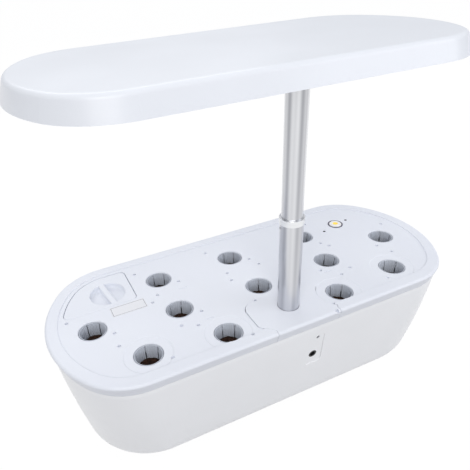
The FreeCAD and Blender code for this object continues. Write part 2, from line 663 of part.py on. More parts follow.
def deck():
    """The lift-off deck: rim, step, hollow underside, pod collars with soft lips."""
    body = newBody("deckBody")
    rimTop = cell("deckTop") + cell("rimRise")
    sections = []
    for number, (z, inset) in enumerate(skirtLevels()):
        sections.append(newSketch(body, "skirt%d" % number, z))
        addInset(sections[-1], "deck", inset)
    ruledLoft(body, "PartDesign::AdditiveLoft", "deckSlab", sections)
    step = newSketch(body, "deckStep", rimTop)
    addInset(step, "deck", cell("rimWidth"))
    stepped = pocket(body, step, cell("rimRise"))
    inner = num("deckWidth") / 2 - num("rimWidth")
    fillet(body, stepped, cell("stepRound"),
           lambda e: flatAt(e, rimTop.value) and e.BoundBox.YMax < inner + 0.01, "stepFillet")
    under = newSketch(body, "deckUnder", cell("skirtBottom"))
    addInset(under, "deck", cell("skirtDraft") + cell("skirtWall"))
    plateLow = cell("deckTop") - cell("deckPlate")
    pocket(body, under, plateLow - cell("skirtBottom"), reverse=True)
    collars = newSketch(body, "podCollars", plateLow - cell("collarDepth"))
    deckHoles(collars, cell("podR") + cell("collarWall"))
    pad(body, collars, cell("collarDepth") + 0.5)
    ledges = newSketch(body, "podLedges", plateLow - cell("collarDepth"))
    deckHoles(ledges, cell("ledgeR"))
    pocket(body, ledges, cell("collarDepth") + cell("deckPlate") + 1.0, reverse=True)
    bores = newSketch(body, "podBores", cell("ledgeTop"))
    deckHoles(bores, cell("podR"))
    bored = pocket(body, bores, cell("deckTop") - cell("ledgeTop") + 1.0, reverse=True)
    lips = num("podR")
    fillet(body, bored, cell("podLip"),
           lambda e: flatAt(e, num("deckTop")) and hasattr(e.Curve, "Radius")
           and abs(e.Curve.Radius - lips) < 0.01, "podLipFillet")
    small = newSketch(body, "buttonHole", cell("deckTop") + 2.0)
    addCircle(small, cell("bezelR") + 0.1, cell("buttonX"), cell("buttonY"))
    for x, y in ((115.4, 34.0), (152.9, 43.1)):
        addCircle(small, cell("indicatorR") + 0.05, asSize(x), asSize(y))
    pocket(body, small, cell("deckPlate") + 4.0)
    cutter = featureFrom("deckCutter", deckCutter())
    cutBy("deck_cover", body, [cutter])


def baskets():
    """A slotted cup for each pod opening, hung on the ledge by its thicker mouth."""
    top = cell("ledgeTop") + cell("bodyGap")
    upper = top + cell("flangeThick")
    foot = top - cell("basketDepth")
    wall = cell("basketWall")
    for number in range(1, len(PODS) + 1):
        name = "basket%02d" % number
        profile = [(asSize(0.0), foot), (cell("basketBottomR"), foot), (cell("basketTopR"), top),
                   (cell("basketFlangeR"), top), (cell("basketFlangeR"), upper),
                   (cell("basketMouthR"), upper), (cell("basketTopR") - wall, top),
                   (cell("basketBottomR") - wall, foot + wall),
                   (asSize(0.0), foot + wall)]
        body = revolved(name, profile, cell("podX%02d" % number), cell("podY%02d" % number))
        bind(body, "Placement.Rotation.Angle", cell("podTurn%02d" % number))
        slot = newSketch(body, name + "Slot", z=0.0, role="YZ_Plane")
        halfWide = cell("slotWidth") / 2
        low, high = foot + cell("slotFoot"), top - cell("slotHead")
        corners = [(asSize(0.0) - halfWide, low), (halfWide, low), (halfWide, high),
                   (asSize(0.0) - halfWide, high)]
        lines = []
        for i in range(4):
            a, b = corners[i], corners[(i + 1) % 4]
            lines.append(slot.addGeometry(Part.LineSegment(
                FreeCAD.Vector(a[0].value, a[1].value, 0), FreeCAD.Vector(b[0].value, b[1].value, 0))))
        for i in range(4):
            slot.addConstraint(Sketcher.Constraint("Coincident", lines[i], 2, lines[(i + 1) % 4], 1))
            driven(slot, corners[i][0], "DistanceX", -1, 1, lines[i], 1)
            driven(slot, corners[i][1], "DistanceY", -1, 1, lines[i], 1)
        cut = body.newObject("PartDesign::Pocket", name + "SlotCut")
        cut.Profile = slot
        cut.Length = num("basketFlangeR") + 2
        bind(cut, "Length", cell("basketFlangeR") + 2.0)
        cut.Reversed = True
        pattern = body.newObject("PartDesign::PolarPattern", name + "Slots")
        pattern.Originals = [cut]
        pattern.Axis = (next(i for i in body.Origin.OriginFeatures if i.Role == "Z_Axis"), [""])
        pattern.Angle = 360
        pattern.Occurrences = 6
        body.Tip = pattern
        keep(body, "pod_basket_%02d" % number)
    doc.recompute()


def fillerLid():
    """The lid over the filler mouth: a flat plate with two half-moon finger wells."""
    top = num("deckTop")
    plate = lidSolid(num("lidGap"), top - num("lidThick"), top)
    depth = num("gripDepth")
    wall = 1.4
    x, y, radius = num("gripX"), num("gripY"), num("gripR")
    well = cylinder(radius + wall, depth + wall, x, y, top - depth - wall)
    solid = plate.fuse(well)
    moon = cylinder(radius, depth, x, y, top - depth)
    bar = Part.makeBox(num("gripBar"), 3 * radius, 3 * depth,
                       FreeCAD.Vector(-num("gripBar") / 2, -1.5 * radius, top - 2 * depth))
    bar.Placement = FreeCAD.Placement(FreeCAD.Vector(x, y, 0),
                                      FreeCAD.Rotation(FreeCAD.Vector(0, 0, 1), num("gripTilt")))
    moon = moon.cut(bar)
    floorEdges = [e for e in moon.Edges if flatAt(e, top - depth)]
    moon = moon.makeFillet(2.5, floorEdges)
    solid = solid.cut(moon)
    brim = [e for e in solid.Edges if flatAt(e, top) and e.BoundBox.DiagonalLength < 2.4 * radius]
    solid = solid.makeFillet(1.0, brim)
    keep(featureFrom("lid", solid.removeSplitter()), "filler_lid")
    low = top - num("lidThick")
    band = lidSolid(num("lidLedge") + 0.4, low - 4, low)
    ring = band.cut(lidSolid(num("lidLedge") + 2.0, low - 5, low + 1))
    ring = ring.cut(cylinder(radius + wall + 0.05, 20, x, y, low - 10))
    keep(featureFrom("lidSeal", ring), "lid_seal")


def controls():
    """Bezel, button, lit icon, indicator windows and the sealed box with its board."""
    x, y = cell("buttonX"), cell("buttonY")
    top = cell("deckTop")
    lidTop = cell("boxTop")
    boreR = cell("bezelR") - cell("bezelBand")
    tubeBody("button_bezel", cell("bezelR"), boreR, lidTop, top + 0.5, x, y)
    capR = boreR - cell("buttonGap")
    capTop = top + cell("buttonStand")
    iconR = cell("iconR")
    cap = [(iconR + 0.03, top - 1.0), (capR, top - 1.0), (capR, capTop - 0.7), (capR - 0.7, capTop),
           (iconR + 0.03, capTop)]
    keep(revolved("capBody", cap, x, y), "power_button")
    stem = [(asSize(0.0), lidTop - 0.6), (asSize(1.6), lidTop - 0.6), (asSize(1.6), top - 1.0),
            (iconR, top - 1.0), (iconR, capTop - 0.05), (asSize(0.0), capTop - 0.05)]
    keep(revolved("iconBody", stem, x, y), "button_icon")
    for name, px, py in (("indicator_left", 115.4, 34.0), ("indicator_right", 152.9, 43.1)):
        window = [(asSize(0.0), lidTop), (cell("indicatorR"), lidTop), (cell("indicatorR"), top - 0.3),
                  (asSize(0.0), top - 0.3)]
        keep(revolved(name + "Body", window, asSize(px), asSize(py)), name)
    length, width, depth, wall = num("boxLength"), num("boxWidth"), num("boxDepth"), num("boxWall")
    high = num("boxTop")
    low = high - depth
    left, near = num("buttonX") - length / 2 - 1.0, num("buttonY") - width / 2 - 1.5
    shell = Part.makeBox(length, width, depth, FreeCAD.Vector(left, near, low))
    shell = shell.makeFillet(4.0, [e for e in shell.Edges if e.BoundBox.ZLength > depth - 1e-6])
    room = Part.makeBox(length - 2 * wall, width - 2 * wall, depth - 2 * wall,
                        FreeCAD.Vector(left + wall, near + wall, low + wall))
    hole = cylinder(2.2, 5, num("buttonX"), num("buttonY"), high - 3)
    keep(featureFrom("controlBox", shell.cut(room).cut(hole)), "control_box")
    board = Part.makeBox(length - 2 * wall - 1, width - 2 * wall - 1, 1.6,
                         FreeCAD.Vector(left + wall + 0.5, near + wall + 0.5, low + wall))
    keep(featureFrom("board", board), "control_board")
    switchTop = high - 2.0
    switch = Part.makeBox(6, 6, switchTop - (low + wall + 1.6),
                          FreeCAD.Vector(num("buttonX") - 3, num("buttonY") - 3, low + wall + 1.6))
    keep(featureFrom("switch", switch), "tact_switch")
    pads = [(num("labelX") + sx * num("labelLength") / 2, num("labelY") + sy * num("labelWidth") / 2, 0.8)
            for sx, sy in ((-1, -1), (1, -1), (1, 1), (-1, 1))]
    label = prism(pads, num("deckTop"), num("deckTop") + num("labelThick"))
    keep(featureFrom("label", label), "label_pad")


def lamp():
    """The lamp head: a shallow shell, its base plate, board, chips, driver and screws."""
    body = newBody("lampBody")
    foot, height, lean, wall = cell("lampBottom"), cell("lampHeight"), cell("lampLean"), cell("lampWall")

    def level(name, z, inset):
        sketch = newSketch(body, name, z, cell("lampX"), cell("lampY"))
        addInset(sketch, "lamp", inset)
        return sketch

    tilt = math.atan(lean.value / height.value)
    rounding = cell("lampRound")
    arcBase = height - rounding
    arcInset = lean * arcBase / height + rounding * (1 / math.cos(tilt))
    sections = [level("lampFoot", foot, asSize(0.0))]
    for step in range(ROLL_STEPS + 1):
        angle = tilt + (math.pi / 2 - tilt) * step / ROLL_STEPS
        sections.append(level("lampRoll%d" % step, foot + arcBase + rounding * math.sin(angle),
                              arcInset - rounding * math.cos(angle)))
    ruledLoft(body, "PartDesign::AdditiveLoft", "lampOuter", sections)
    roof = height - wall
    ruledLoft(body, "PartDesign::SubtractiveLoft", "lampHollow", [
        level("hollowFoot", foot, wall), level("hollowBend", foot + arcBase, lean * arcBase / height + wall),
        level("hollowHead", foot + roof, arcInset)])
    plateLow = foot + cell("lampRecess")
    plateHigh = plateLow + cell("lampPlate")
    posts = newSketch(body, "lampPosts", plateHigh + 0.1)
    places = [(sx * 150.0, cell("lampY").value + sy * 58.0) for sx in (-1, 1) for sy in (-1, 1)]
    for x, y in places:
        addCircle(posts, cell("postR"), asSize(x), asSize(y))
    pad(body, posts, foot + height - wall - plateHigh + 0.4)
    bores = newSketch(body, "postBores", plateHigh + 0.1)
    for x, y in places:
        addCircle(bores, cell("screwR") + 0.05, asSize(x), asSize(y))
    pocket(body, bores, asSize(8.0), reverse=True)
    keep(body, "lamp_shell")
    low, high = plateLow.value, plateHigh.value
    x, y = num("mastX"), num("mastY")
    shift = FreeCAD.Vector(num("lampX"), num("lampY"), 0)
    leaned = num("lampLean") * (high - num("lampBottom")) / num("lampHeight")
    plate = outlinePrism("lamp", num("lampWall") + leaned + num("bodyGap"), low, high)
    plate.translate(shift)
    plate = plate.cut(cylinder(num("upperTubeR") + num("runGap"), 10, x, y, low - 1))
    for px, py in places:
        plate = plate.cut(cylinder(num("screwR") + 0.2, 10, px, py, low - 1))
    keep(featureFrom("lampPlate", plate), "lamp_base")
    boardLow = low - num("ledBoardThick")
    hl, hw = num("ledBoardLength") / 2, num("ledBoardWidth") / 2
    cy = num("lampY") + num("ledBoardY")
    corners = [(-hl, cy - hw, 12), (hl, cy - hw, 12), (hl, cy + hw, 12), (-hl, cy + hw, 12)]
    keep(featureFrom("ledBoard", prism(corners, boardLow, low)), "led_board")
    chips = {"led_chips_white": [], "led_chips_red": []}
    size, thick = num("chipSize"), num("chipThick")
    for column in range(20):
        for line in range(5):
            cx = (column - 9.5) * (2 * hl - 24) / 20
            px, py = cx - size / 2, cy + (line - 2) * (2 * hw - 12) / 5 - size / 2
            kind = "led_chips_red" if (column + 2 * line) % 5 == 2 else "led_chips_white"
            corner = FreeCAD.Vector(px, py, boardLow - thick)
            chips[kind].append(Part.makeBox(size, size, thick, corner))
    for kind, boxes in chips.items():
        keep(featureFrom(kind, Part.makeCompound(boxes)), kind)
    driver = Part.makeBox(64, 28, 8, FreeCAD.Vector(-100, num("lampY") - 14, high))
    keep(featureFrom("driver", driver), "lamp_driver")
    socketTop = high + 6.0
    inner = cell("upperTubeR") + cell("runGap")
    tubeBody("lamp_socket", inner + cell("socketWall"), inner, plateHigh, asSize(socketTop),
             cell("mastX"), cell("mastY"))
    for index, (px, py) in enumerate(places, start=1):
        screw = [(asSize(0.0), plateLow - 1.5), (cell("screwHeadR") - 0.6, plateLow - 1.5),
                 (cell("screwHeadR"), plateLow - 0.7), (cell("screwHeadR"), plateLow),
                 (cell("screwR"), plateLow), (cell("screwR"), plateHigh + 7.0),
                 (asSize(0.0), plateHigh + 7.0)]
        keep(revolved("lampScrew%d" % index, screw, asSize(px), asSize(py)), "lamp_screw_%d" % index)


def pump():
    """The small pump in the tank: body on suction cups, cover, impeller and nozzle."""
    floor = num("tankBottom") + num("tankWall") + 0.25
    length, width, height = num("pumpLength"), num("pumpWidth"), num("pumpHeight")
    cup = num("cupHeight")
    x0, y0, z0 = num("pumpX") - length / 2, num("pumpY") - width / 2, floor + cup
    block = Part.makeBox(length, width, height, FreeCAD.Vector(x0, y0, z0))
    block = block.makeFillet(4.0, [e for e in block.Edges if e.BoundBox.XLength > length - 1e-6])
    axisZ = z0 + height / 2
    chamber = cylinder(num("chamberR"), num("chamberDepth"), x0 + length - num("chamberDepth"),
                       num("pumpY"), axisZ, (1, 0, 0))
    shaftHole = cylinder(num("shaftR") + 0.06, 8, x0 + length - num("chamberDepth") - 6,
                         num("pumpY"), axisZ, (1, 0, 0))
    keep(featureFrom("pumpBlock", block.cut(chamber).cut(shaftHole)), "pump_body")
    plate = Part.makeBox(3, width - 2, height - 2, FreeCAD.Vector(x0 + length, y0 + 1, z0 + 1))
    plate = plate.makeFillet(5.0, [e for e in plate.Edges if e.BoundBox.XLength > 2.99
                                   and e.BoundBox.YLength < 1e-6 and e.BoundBox.ZLength < 1e-6])
    plate = plate.cut(cylinder(3.5, 10, x0 + length - 2, num("pumpY"), axisZ, (1, 0, 0)))
    for side in (-1, 1):
        for line in range(4):
            cut = Part.makeBox(10, 5, 1.6, FreeCAD.Vector(x0 + length - 3, num("pumpY") + side * 8 - 2.5,
                                                          axisZ - 7 + line * 4))
            plate = plate.cut(cut)
    keep(featureFrom("pumpPlate", plate), "pump_cover")
    start = x0 + length - num("chamberDepth")
    rotor = cylinder(3.0, 6.5, start + 1.0, num("pumpY"), axisZ, (1, 0, 0))
    rotor = rotor.fuse(cylinder(num("shaftR"), 6.5, start - 5.4, num("pumpY"), axisZ, (1, 0, 0)))
    for blade in range(6):
        vane = Part.makeBox(6.0, 1.2, num("impellerR"), FreeCAD.Vector(start + 1.2, -0.6, 0))
        vane.rotate(FreeCAD.Vector(0, 0, 0), FreeCAD.Vector(1, 0, 0), 60 * blade)
        vane.translate(FreeCAD.Vector(0, num("pumpY"), axisZ))
        rotor = rotor.fuse(vane)
    keep(featureFrom("rotor", rotor.removeSplitter()), "pump_impeller")
    top = asSize(z0 + height)
    tubeBody("pump_nozzle", cell("nozzleR"), cell("nozzleR") - 1.5, top, top + cell("nozzleHeight"),
             cell("pumpX") - 10.0, cell("pumpY"))
    for index, (sx, sy) in enumerate(((-1, -1), (1, -1), (1, 1), (-1, 1)), start=1):
        base = asSize(floor)
        points = [(asSize(0.0), base + 1.2), (cell("cupR") - 2.0, base), (cell("cupR"), base),
                  (asSize(2.6), base + cup - 1.4), (asSize(2.6), base + cup), (asSize(0.0), base + cup)]
        keep(revolved("cup%d" % index, points, cell("pumpX") + sx * 12.0, cell("pumpY") + sy * 8.0),
             "suction_cup_%d" % index)


def feet():
    """Four rubber feet near the ends and one under the middle."""
    for index, (sx, sy) in enumerate(((-1, -1), (1, -1), (1, 1), (-1, 1), (0, 0)), start=1):
        r = cell("footR")
        points = [(asSize(0.0), asSize(0.0)), (r - 0.8, asSize(0.0)), (r, asSize(0.8)),
                  (r, cell("tankBottom")), (asSize(0.0), cell("tankBottom"))]
        keep(revolved("foot%d" % index, points, cell("footX") * sx, cell("footY") * sy),
             "rubber_foot_%d" % index)


tank()
mastHousing()
mast()
ports()
pump()
feet()
deck()
controls()
fillerLid()
baskets()
lamp()
doc.recompute()

for thing in doc.Objects:
    if any(flag in thing.State for flag in ("Invalid", "Error")):
        raise RuntimeError("failed object: %s %s" % (thing.Name, thing.State))
for part in subParts:
    if part.Shape.isNull() or not part.Shape.isValid():
        raise RuntimeError("bad shape: " + part.Label)

os.makedirs("parts", exist_ok=True)
for part in subParts:
    part.Shape.exportStep("parts/%s.step" % part.Label)
    print(part.Label, round(part.Shape.Volume, 1), len(part.Shape.Solids))
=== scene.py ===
import math

import bmesh
import bpy
import numpy as np
from mathutils import Matrix, Vector


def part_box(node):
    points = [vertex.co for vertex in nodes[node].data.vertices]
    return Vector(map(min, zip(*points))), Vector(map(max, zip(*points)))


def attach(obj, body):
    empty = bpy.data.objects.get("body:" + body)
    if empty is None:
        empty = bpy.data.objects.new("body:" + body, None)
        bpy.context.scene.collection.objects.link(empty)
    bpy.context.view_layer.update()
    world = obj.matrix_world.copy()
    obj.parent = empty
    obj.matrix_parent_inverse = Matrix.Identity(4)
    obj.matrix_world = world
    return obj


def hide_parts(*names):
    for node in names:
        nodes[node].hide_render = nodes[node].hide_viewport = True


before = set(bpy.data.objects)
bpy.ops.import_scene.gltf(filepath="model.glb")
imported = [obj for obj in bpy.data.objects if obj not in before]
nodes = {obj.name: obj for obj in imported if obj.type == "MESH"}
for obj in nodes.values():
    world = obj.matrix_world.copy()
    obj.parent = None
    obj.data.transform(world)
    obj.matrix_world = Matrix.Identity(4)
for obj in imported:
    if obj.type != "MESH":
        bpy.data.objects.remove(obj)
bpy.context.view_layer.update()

mm = 0.001


# colour and node helpers

def hexToLinear(code):
    # each sRGB channel turned to linear light by the standard curve
    channels = [int(code[i:i + 2], 16) / 255 for i in (0, 2, 4)]
    linear = [c / 12.92 if c <= 0.04045 else ((c + 0.055) / 1.055) ** 2.4 for c in channels]
    return (*linear, 1.0)


def addNode(tree, kind, inputs=None, **settings):
    # one node, its settings, and its inputs as values or as sockets to link from
    node = tree.nodes.new(kind)
    for name, value in settings.items():
        setattr(node, name, value)
    for name, value in (inputs or {}).items():
        if isinstance(value, bpy.types.NodeSocket):
            tree.links.new(value, node.inputs[name])
        else:
            node.inputs[name].default_value = value
    return node


def newMaterial(name, **sockets):
    material = bpy.data.materials.new(name)
    material.use_nodes = True
    tree = material.node_tree
    tree.nodes.clear()
    shader = addNode(tree, "ShaderNodeBsdfPrincipled", {key.replace("_", " "): v for key, v in sockets.items()})
    output = addNode(tree, "ShaderNodeOutputMaterial")
    tree.links.new(shader.outputs["BSDF"], output.inputs["Surface"])
    return material, tree, shader


def objectPoint(tree, scale=(1.0, 1.0, 1.0), location=(0.0, 0.0, 0.0)):
    coords = addNode(tree, "ShaderNodeTexCoord")
    return addNode(tree, "ShaderNodeMapping", {"Vector": coords.outputs["Object"], "Scale": scale,
                                               "Location": location}).outputs["Vector"]


def tintedNoise(tree, shader, point, low, high, size, detail=3.0):
    # base colour drifts between two close tones over patches of the given size
    noise = addNode(tree, "ShaderNodeTexNoise", {"Vector": point, "Scale": 1 / size, "Detail": detail})
    ramp = addNode(tree, "ShaderNodeValToRGB", {"Fac": noise.outputs["Fac"]})
    ramp.color_ramp.elements[0].position = 0.3
    ramp.color_ramp.elements[1].position = 0.7
    ramp.color_ramp.elements[0].color = hexToLinear(low)
    ramp.color_ramp.elements[1].color = hexToLinear(high)
    tree.links.new(ramp.outputs["Color"], shader.inputs["Base Color"])
    return noise


def grainBump(tree, shader, point, size, height, detail=2.0):
    # fine surface relief: noise of the given grain size, as tall as height
    noise = addNode(tree, "ShaderNodeTexNoise", {"Vector": point, "Scale": 1 / size, "Detail": detail})
    bump = addNode(tree, "ShaderNodeBump", {"Height": noise.outputs["Fac"], "Distance": height, "Strength": 1.0})
    tree.links.new(bump.outputs["Normal"], shader.inputs["Normal"])
    return noise


def variedRoughness(tree, shader, fac, low, high):
    span = addNode(tree, "ShaderNodeMapRange", {"Value": fac, "To Min": low, "To Max": high})
    tree.links.new(span.outputs["Result"], shader.inputs["Roughness"])


# materials

def mouldedAbs(name, low, high, rough, grain=0.0011, relief=0.000012, coat=0.0):
    # injection-moulded ABS: even colour, a faint flow drift and a soft mould grain
    material, tree, shader = newMaterial(name, IOR=1.53, Coat_Weight=coat, Coat_Roughness=0.12)
    point = objectPoint(tree)
    drift = tintedNoise(tree, shader, point, low, high, 0.07)
    variedRoughness(tree, shader, drift.outputs["Fac"], rough - 0.04, rough + 0.05)
    grainBump(tree, shader, point, grain, relief)
    return material


# painted reflection round the mast: soft bands from two sines of the azimuth between a dark and a light steel tone
paintedReflectionBands = {"dark": "A8A9AE", "light": "F4F5F7", "broad": 5.0, "narrow": 12.0,
             "broadShare": 0.3, "narrowShare": 0.15}
# the painted reflection bands fade to a flat grey tone towards the deck
paintedReflectionFade = {"low": 0.132, "high": 0.30, "share": 0.35, "tone": "D2D3D8"}


def drawnStainlessPaintedReflection(name, rough):
    # stainless polished along its length, with a painted reflection of soft bands round the tube that
    # fades to a flat grey near the deck, under hair-fine drawing lines
    material, tree, shader = newMaterial(name, Metallic=1.0)
    low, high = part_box("upper_tube")
    axis = [-(low[i] + high[i]) / 2 for i in (0, 1)]
    parts = addNode(tree, "ShaderNodeSeparateXYZ", {"Vector": objectPoint(tree, location=(*axis, 0.0))})
    angle = addNode(tree, "ShaderNodeMath", {0: parts.outputs["Y"], 1: parts.outputs["X"]}, operation="ARCTAN2")
    waves = []
    for kind in ("broad", "narrow"):
        turn = addNode(tree, "ShaderNodeMath", {0: angle.outputs[0], 1: paintedReflectionBands[kind]}, operation="MULTIPLY")
        sine = addNode(tree, "ShaderNodeMath", {0: turn.outputs[0]}, operation="SINE")
        waves.append(addNode(tree, "ShaderNodeMath", {0: sine.outputs[0], 1: paintedReflectionBands[kind + "Share"]},
                             operation="MULTIPLY"))
    both = addNode(tree, "ShaderNodeMath", {0: waves[0].outputs[0], 1: waves[1].outputs[0]}, operation="ADD")
    share = addNode(tree, "ShaderNodeMath", {0: both.outputs[0], 1: 0.5}, operation="ADD", use_clamp=True)
    # painted reflection: base colour swings between the dark and light steel tones round the tube
    bands = addNode(tree, "ShaderNodeMix", {0: share.outputs[0]}, data_type="RGBA")
    bands.inputs[6].default_value = hexToLinear(paintedReflectionBands["dark"])
    bands.inputs[7].default_value = hexToLinear(paintedReflectionBands["light"])
    fade = addNode(tree, "ShaderNodeMapRange", {"Value": parts.outputs["Z"], "From Min": paintedReflectionFade["low"],
                                                "From Max": paintedReflectionFade["high"], "To Min": paintedReflectionFade["share"]})
    # the painted reflection is blended towards the flat grey near the deck
    calm = addNode(tree, "ShaderNodeMix", {0: fade.outputs["Result"], 7: bands.outputs[2]},
                   data_type="RGBA")
    calm.inputs[6].default_value = hexToLinear(paintedReflectionFade["tone"])
    streaks = objectPoint(tree, scale=(1.0, 1.0, 0.012))
    noise = addNode(tree, "ShaderNodeTexNoise", {"Vector": streaks, "Scale": 1400.0, "Detail": 4.0})
    hair = addNode(tree, "ShaderNodeMapRange", {"Value": noise.outputs["Fac"], "To Min": 0.95, "To Max": 1.03})
    tinted = addNode(tree, "ShaderNodeMix", {0: 1.0, 6: calm.outputs[2], 7: hair.outputs["Result"]},
                     data_type="RGBA", blend_type="MULTIPLY")
    tree.links.new(tinted.outputs[2], shader.inputs["Base Color"])
    variedRoughness(tree, shader, noise.outputs["Fac"], rough - 0.04, rough + 0.04)
    grainBump(tree, shader, streaks, 0.0005, 0.000002)
    return material


def polishedSteel(name, tone, rough):
    # turned and polished stainless: near-mirror with faint turning rings
    material, tree, shader = newMaterial(name, Metallic=1.0)
    rings = objectPoint(tree, scale=(0.02, 0.02, 1.0))
    lines = tintedNoise(tree, shader, rings, tone[0], tone[1], 0.0006, 3.0)
    variedRoughness(tree, shader, lines.outputs["Fac"], rough - 0.03, rough + 0.05)
    return material


def siliconeRubber(name, low, high, rough):
    # moulded silicone: matt, slightly dusty
    material, tree, shader = newMaterial(name, IOR=1.43)
    point = objectPoint(tree)
    dust = tintedNoise(tree, shader, point, low, high, 0.012)
    variedRoughness(tree, shader, dust.outputs["Fac"], rough - 0.05, rough + 0.08)
    grainBump(tree, shader, point, 0.0006, 0.00002)
    return material


def growSponge(name):
    # pressed peat and coir: dark brown crumbs of about a millimetre
    material, tree, shader = newMaterial(name, Roughness=0.95, IOR=1.4)
    point = objectPoint(tree)
    tintedNoise(tree, shader, point, "140B07", "4A2E20", 0.0016, 6.0)
    grainBump(tree, shader, point, 0.0012, 0.0006, 5.0)
    return material


def litLens(name, low, high, glow, strength):
    # tinted acrylic over a small lamp: softly lit from behind
    material, tree, shader = newMaterial(name, IOR=1.49, Roughness=0.25)
    tintedNoise(tree, shader, objectPoint(tree), low, high, 0.004)
    shader.inputs["Emission Color"].default_value = hexToLinear(glow)
    shader.inputs["Emission Strength"].default_value = strength
    return material


def solderMask(name, low, high):
    # printed circuit: lacquered board with a faint weave of the glass cloth under it
    material, tree, shader = newMaterial(name, IOR=1.5)
    point = objectPoint(tree)
    patch = tintedNoise(tree, shader, point, low, high, 0.02)
    variedRoughness(tree, shader, patch.outputs["Fac"], 0.32, 0.45)
    weave = addNode(tree, "ShaderNodeTexWave", {"Vector": point, "Scale": 320.0, "Distortion": 1.5})
    bump = addNode(tree, "ShaderNodeBump", {"Height": weave.outputs["Fac"], "Distance": 0.00001})
    tree.links.new(bump.outputs["Normal"], shader.inputs["Normal"])
    return material


labelPrint = {"frame": 0.8 * mm, "line": 0.5 * mm}


def blankLabel(name):
    # satin polyester film, left unprinted but for a thin grey frame
    material, tree, shader = newMaterial(name, IOR=1.6, Roughness=0.38)
    low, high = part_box("label_pad")
    half = [(high[i] - low[i]) / 2 for i in (0, 1)]
    centre = [(high[i] + low[i]) / 2 for i in (0, 1)]
    point = objectPoint(tree, location=(-centre[0], -centre[1], 0.0))
    parts = addNode(tree, "ShaderNodeSeparateXYZ", {"Vector": point})
    margins = []
    for axis, reach in zip("XY", half):
        away = addNode(tree, "ShaderNodeMath", {0: parts.outputs[axis]}, operation="ABSOLUTE")
        margins.append(addNode(tree, "ShaderNodeMath", {0: reach, 1: away.outputs[0]}, operation="SUBTRACT"))
    edge = addNode(tree, "ShaderNodeMath", {0: margins[0].outputs[0], 1: margins[1].outputs[0]},
                   operation="MINIMUM")
    inner = addNode(tree, "ShaderNodeMath", {0: edge.outputs[0], 1: labelPrint["frame"]}, operation="GREATER_THAN")
    outer = addNode(tree, "ShaderNodeMath", {0: edge.outputs[0], 1: labelPrint["frame"] + labelPrint["line"]},
                    operation="LESS_THAN")
    line = addNode(tree, "ShaderNodeMath", {0: inner.outputs[0], 1: outer.outputs[0]}, operation="MULTIPLY")
    mix = addNode(tree, "ShaderNodeMix", {0: line.outputs[0]}, data_type="RGBA")
    mix.inputs[6].default_value = hexToLinear("E9EAEE")
    mix.inputs[7].default_value = hexToLinear("9A9BA3")
    tree.links.new(mix.outputs[2], shader.inputs["Base Color"])
    return material


finishes = {
    "tank": mouldedAbs("tankAbs", "F4F5F7", "F7F8FA", 0.30, coat=0.2),
    "deck": mouldedAbs("deckAbs", "E8EBF3", "EBEEF5", 0.36),
    "lampShell": mouldedAbs("lampAbs", "E9ECF2", "ECEFF5", 0.34, coat=0.15),
    "inner": mouldedAbs("innerAbs", "E4E5E8", "E9EAEC", 0.45),
    "basket": mouldedAbs("basketPolypropylene", "B9BEC8", "C3C8D1", 0.42),
    "black": mouldedAbs("blackNylon", "101113", "1A1B1E", 0.42),
    "darkRing": mouldedAbs("bezelPolycarbonate", "5A5669", "666274", 0.25, coat=0.3),
    "button": mouldedAbs("buttonPolycarbonate", "F6F6F4", "FAFAF8", 0.22, coat=0.4),
    "driver": mouldedAbs("driverCase", "3C3E42", "46484D", 0.5),
    "tube": drawnStainlessPaintedReflection("drawnStainlessPaintedReflection", 0.34),
    "collar": polishedSteel("satinStainless", ("EEEFF1", "F8F9FA"), 0.45),
    "screw": polishedSteel("zincPlatedSteel", ("AEB0B4", "C8CACE"), 0.28),
    "foot": siliconeRubber("greySilicone", "7A7C7F", "86888B", 0.7),
    "seal": siliconeRubber("milkySilicone", "C9CCCF", "D6D8DA", 0.55),
    "sponge": growSponge("growSponge"),
    "amber": litLens("amberAcrylic", "E9C23A", "F4D65C", "F5C62E", 0.35),
    "darkLens": litLens("smokedAcrylic", "15151A", "22222A", "15151A", 0.0),
    "greyLens": litLens("greyAcrylic", "6C6E74", "7C7E85", "6C6E74", 0.0),
    "chipWhite": litLens("warmPhosphor", "F2EBBE", "F7F2CF", "F7F2CF", 0.15),
    "chipRed": litLens("redPhosphor", "D8503E", "E2604C", "D8503E", 0.1),
    "board": solderMask("greenSolderMask", "16432A", "1F5636"),
    "ledBoard": solderMask("whiteSolderMask", "ECECE8", "F3F3F0"),
    "label": blankLabel("polyesterFilm"),
}
print("materials ready:", len(finishes))

nodeFinish = {
    "water_tank": "tank", "port_panel": "tank", "mast_housing": "deck", "deck_cover": "deck",
    "filler_lid": "deck", "mast_sleeve": "inner", "slide_bush": "inner", "pump_impeller": "inner",
    "control_box": "inner", "lamp_base": "inner", "lamp_socket": "inner", "lower_tube": "tube",
    "upper_tube": "tube", "mast_collar": "collar", "mast_ferrule": "collar", "collar_screw": "screw",
    "dc_socket": "black", "pump_body": "black", "pump_cover": "black", "pump_nozzle": "black",
    "tact_switch": "black", "button_bezel": "darkRing", "power_button": "button", "button_icon": "amber",
    "indicator_left": "darkLens", "indicator_right": "darkLens", "sensor_lens": "greyLens",
    "control_board": "board", "label_pad": "label", "lid_seal": "seal", "lamp_shell": "lampShell",
    "led_board": "ledBoard", "led_chips_white": "chipWhite", "led_chips_red": "chipRed",
    "lamp_driver": "driver",
}
for name, node in nodes.items():
    kind = nodeFinish.get(name)
    if name.startswith("pod_basket"):
        kind = "basket"
    elif name.startswith("rubber_foot"):
        kind = "foot"
    elif name.startswith("suction_cup"):
        kind = "seal"
    elif name.startswith("lamp_screw"):
        kind = "screw"
    node.data.materials.clear()
    node.data.materials.append(finishes[kind])
print("CAD nodes finished:", len(nodes))


# surfaces on a grid

